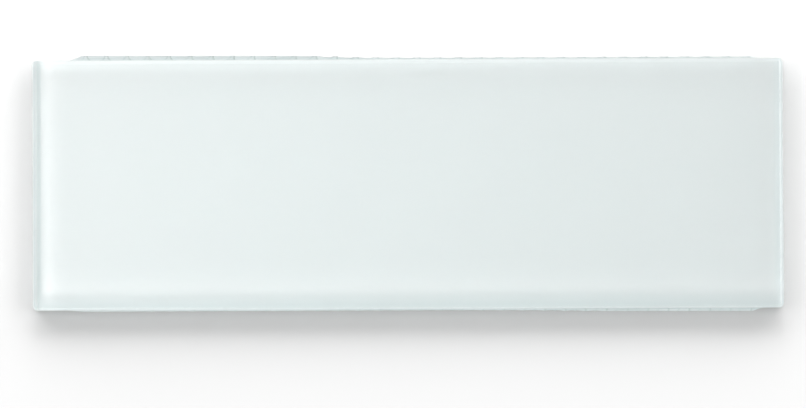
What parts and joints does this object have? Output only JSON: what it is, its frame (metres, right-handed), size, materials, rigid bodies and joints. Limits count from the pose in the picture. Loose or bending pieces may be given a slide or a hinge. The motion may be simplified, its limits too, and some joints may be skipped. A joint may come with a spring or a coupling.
{
  "type": "glass subway wall tile",
  "caption": "Long flat wall tile of clear pale green glass with a polished rounded edge, an opaque white coat on its back and a woven backing mesh whose cut fringe shows along both long sides.",
  "frame": {"origin": "middle of the tile's outline, on the bedding plane under the backing mesh", "axes": "+X along the tile's long sides, +Y across it towards the wide fringe's side, +Z out of the bedding face towards the glossy face"},
  "size_m": [0.3, 0.1034, 0.0084],
  "materials": {
    "glass": "fire-polished gloss, faintly green",
    "coat": "opaque matt white fired coat",
    "mesh": "translucent resin-stiffened glass-fibre weave"
  },
  "bodies": {
    "root": {"glass_body": "glass", "back_coat": "coat", "backing_mesh": "mesh"}
  },
  "joints": []
}
